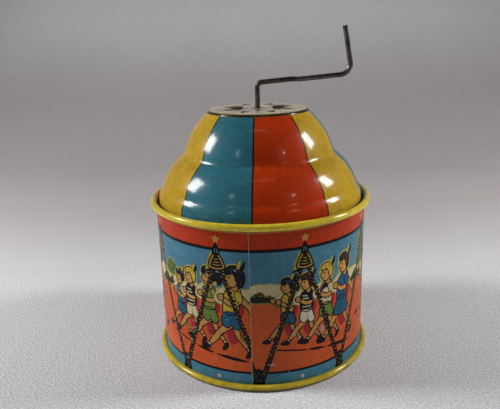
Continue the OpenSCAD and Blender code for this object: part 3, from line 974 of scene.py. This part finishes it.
def wall_back(shell, sheet, edges):
    """The bare inner face and the sheet's two level edges, column by column."""
    columns = [c + start for start in PRINT_STARTS for c in sheet.columns[:-1] if c + start < WHOLE - 0.01]
    for a, b in zip(columns, columns[1:] + [WHOLE]):
        places = ((a, sheet.low), (b, sheet.low), (b, sheet.high), (a, sheet.high))
        inside = [polar(WALL_R - TIN, SEAM + u / WALL_R, z) for u, z in places]
        shell.face(inside, "tin", [(BAKE_EDGE + BAKE_WIDTH * u / WHOLE, 0.955 if z == sheet.low else 0.99)
                                   for u, z in places])
        for level, there in edges.items():
            between = sorted(u for u in there if a - 0.001 <= u <= b + 0.001)
            first, last = (inside[0], inside[1]) if level == sheet.low else (inside[3], inside[2])
            under = [polar(WALL_R, SEAM, level)] if a == 0 else []
            corners = [first] + under + [wall_spot(u, level) for u in between] + [last]
            shell.face(corners, "tin", [(0.5 + 0.001 * k, 0.951) for k in range(len(corners))])


def wall_step(shell, lapped, below):
    """The cut edge of the outer layer, between the heights of the points above and below the lap."""
    i = j = 0
    while i < len(lapped) - 1 or j < len(below) - 1:
        rise = j == len(below) - 1 or (i < len(lapped) - 1 and lapped[i + 1] <= below[j + 1])
        corners = [wall_spot(0, lapped[i]), wall_spot(WHOLE, below[j])]
        i, j = (i + 1, j) if rise else (i, j + 1)
        corners.append(wall_spot(0, lapped[i]) if rise else wall_spot(WHOLE, below[j]))
        shell.face(corners, "tin", [(0.4, 0.951), (0.401, 0.951), (0.4, 0.952)])


def shade_round(mesh):
    """Normals of a true tube on the faces, and flat ones on the cut edges."""
    normals = []
    for face in mesh.polygons:
        for k in face.vertices:
            radial = Vector((*mesh.vertices[k].co.xy, 0)).normalized()
            facing = face.normal.dot(radial)
            normals.append(radial * math.copysign(1, facing) if abs(facing) > 0.7 else face.normal)
    mesh.normals_split_custom_set(normals)


def build_wall():
    """The wall's tin sheet, closed: printed face, bare back, level edges and the step at the lap."""
    sheet, shell = wall_picture(), Shell()
    edges = {sheet.low: set(), sheet.high: set()}
    ends = {0: set(), WHOLE: set()}
    wall_face(shell, sheet, edges, ends)
    wall_back(shell, sheet, edges)
    wall_step(shell, sorted(ends[0]), sorted(ends[WHOLE]))
    shade_round(shell.piece("wall_print", WALL_LITHO, "printed_wall", "drum_wall", 40).data)


build_wall()


# ---- metals on the nodes that keep their CAD shape ----
METALS = {
    "bright_tin": dict(light="8f8c85", dark="57534e", rusted=0.6, metallic=0.6),
    "cast_zinc": dict(light="8f9194", dark="6a6b6e", rough=(0.4, 0.65), grain=0.8),
    "plated_screw": dict(light="a3a19a", dark="6c6963", rough=(0.2, 0.4)),
    "brass": dict(light="b3913f", dark="7c6127", rust="4b3a1d", rough=(0.22, 0.42)),
    "crank_steel": dict(light="87827e", dark="4a4542", rust="3f2a1e", rusted=0.6, rough=(0.22, 0.42),
                        metallic=0.85),
    "spring_steel": dict(light="8a8c90", dark="55575b", rough=(0.2, 0.4)),
}
for slot, look in METALS.items():
    metal = metal_material(slot, **look)
    for subpart in frame["record"]["subparts"]:
        if subpart["material_slot"] == slot:
            mesh = frame["nodes"][subpart["node"]].data
            mesh.materials.clear()
            mesh.materials.append(metal)


# ---- stage: pale cloth, swept up round the toy ----
def cloth_material():
    """Off-white cloth with painted shade: darker behind the toy, where the lamps' light falls off, and less
    so high up.
    """
    n = Nodes("backdrop_cloth")
    place = n.place()
    cloud = n.noise(place, 140, 4, 0.5)
    grain = n.noise(place, 0.5, 2, 0.6)
    tuft = n.noise(place, 0.9, 2, 0.6)
    pile = n.math("ADD", grain, tuft)
    colour = n.mix(n.ramp(cloud, 0.3, 0.7), linear("fafbfe"), linear("f4f5f8"))
    colour = n.mix(n.ramp(pile, 0.82, 1.18, 0.0, 0.75), colour, linear("c2c5cb"))
    _, y, z = n.add("SeparateXYZ", {0: place}).outputs
    # painted shade: darkens the cloth behind the toy, easing off higher up the sweep
    behind = n.ramp(y, 10, 210, 0.0, 0.4)
    above = n.ramp(z, 45, 170, 0.0, 0.34)
    colour = n.mix(n.math("SUBTRACT", behind, above, clamp=True), colour, linear("6a3a14"))
    n.set(Base_Color=colour, Roughness=0.9, Normal=n.bump(pile, 0.7, 0.7))
    return n.material


def build_stage():
    """A cove, in metres: a level floor swept up on all four sides, close behind the toy at the north."""
    west, east, south, north, corner = -2.28, 2.28, -2.28, 0.2, 0.12      # middles of the corners
    sweep, top = 0.38, 1.6
    section = arc((0, sweep), sweep, -90, 0, 24) + [(sweep, top)]
    middles = ((east, north), (west, north), (west, south), (east, south))
    verts = []
    for out, z in section:
        for k, (x, y) in enumerate(middles):
            verts += [(x + dx, y + dy, z) for dx, dy in arc((0, 0), corner + out, 90 * k, 90 * k + 90, 8)]
    n = len(verts) // len(section)
    faces = [tuple(range(n))]
    for j in range(len(section) - 1):
        for i in range(n):
            m = (i + 1) % n
            faces.append((j * n + m, j * n + i, (j + 1) * n + i, (j + 1) * n + m))
    mesh = bpy.data.meshes.new("backdrop")
    mesh.from_pydata(verts, [], faces)
    mesh.materials.append(cloth_material())
    for f in mesh.polygons:
        f.use_smooth = f.index > 0
    sheet = bpy.data.objects.new("backdrop", mesh)
    scene.collection.objects.link(sheet)


build_stage()


# ---- light and camera ----
LIGHTS = (
    # name, azimuth (0 is in front, + to the right), elevation, distance, (width, height), watts, colour
    ("left_window", -91, 30, 0.6, (0.15, 0.19), 3.0, (1.0, 0.98, 0.97)),
    ("right_window", 93, 30, 0.6, (0.11, 0.17), 2.5, (1.0, 0.98, 0.96)),
    ("left_doorway", -34, 32, 1.2, (0.09, 0.2), 0.38, (0.65, 0.8, 1.0)),
    ("right_doorway", 38, 30, 1.2, (0.2, 0.34), 0.1, (1.0, 0.9, 0.8)),
    ("ceiling_tube", 0, 68, 1.2, (0.5, 0.02), 0.16, (1.0, 0.98, 0.94)),
    ("lamp", 42, 31, 1.2, (0.03, 0.04), 0.2, (1.0, 0.85, 0.75)),
    ("left_room", -92, 30, 0.6, (0.14, 0.18), 0.62, (1.0, 0.98, 0.97)),
    ("right_room", 93, 30, 0.6, (0.14, 0.18), 0.55, (1.0, 0.98, 0.96)),
)
TURNED_AWAY = ("left_room", "right_room")      # these light the cloth beyond them, not the toy


def softbox(name, azimuth, elevation, distance, size, watts, colour):
    """Soft rectangular light that faces the toy's middle, or away from it."""
    a, e = math.radians(azimuth), math.radians(elevation)
    away = Vector((math.sin(a) * math.cos(e), -math.cos(a) * math.cos(e), math.sin(e)))
    light = bpy.data.lights.new(name, "AREA")
    light.shape = "RECTANGLE"
    light.size, light.size_y = size
    light.energy = watts
    light.color = colour
    lamp = bpy.data.objects.new(name, light)
    lamp.location = Vector((0, 0, 0.06)) + away * distance
    back = Vector((-away.x, -away.y, away.z)) if name in TURNED_AWAY else away
    lamp.rotation_euler = back.to_track_quat("Z", "Y").to_euler()
    scene.collection.objects.link(lamp)


for light_row in LIGHTS:
    softbox(*light_row)

scene.world = bpy.data.worlds.new("room")
scene.world.use_nodes = True
room = scene.world.node_tree.nodes["Background"]
room.inputs["Color"].default_value = (0.5, 0.5, 0.52, 1)
room.inputs["Strength"].default_value = 0.02

EYE = Vector((0, -219.57, 125.19)) * MM
TURN, TILT, ROLL = (Matrix.Rotation(math.radians(degrees), 4, axis)
                    for degrees, axis in ((1.106, "Z"), (73.431, "X"), (-1.706, "Z")))
lens = bpy.data.cameras.new("camera")
lens.lens = 39.28
lens.sensor_width = 36
lens.clip_start = 0.01
camera = bpy.data.objects.new("camera", lens)
camera.matrix_world = Matrix.Translation(EYE) @ TURN @ TILT @ ROLL
scene.collection.objects.link(camera)
scene.camera = camera
scene.view_settings.view_transform = "Standard"
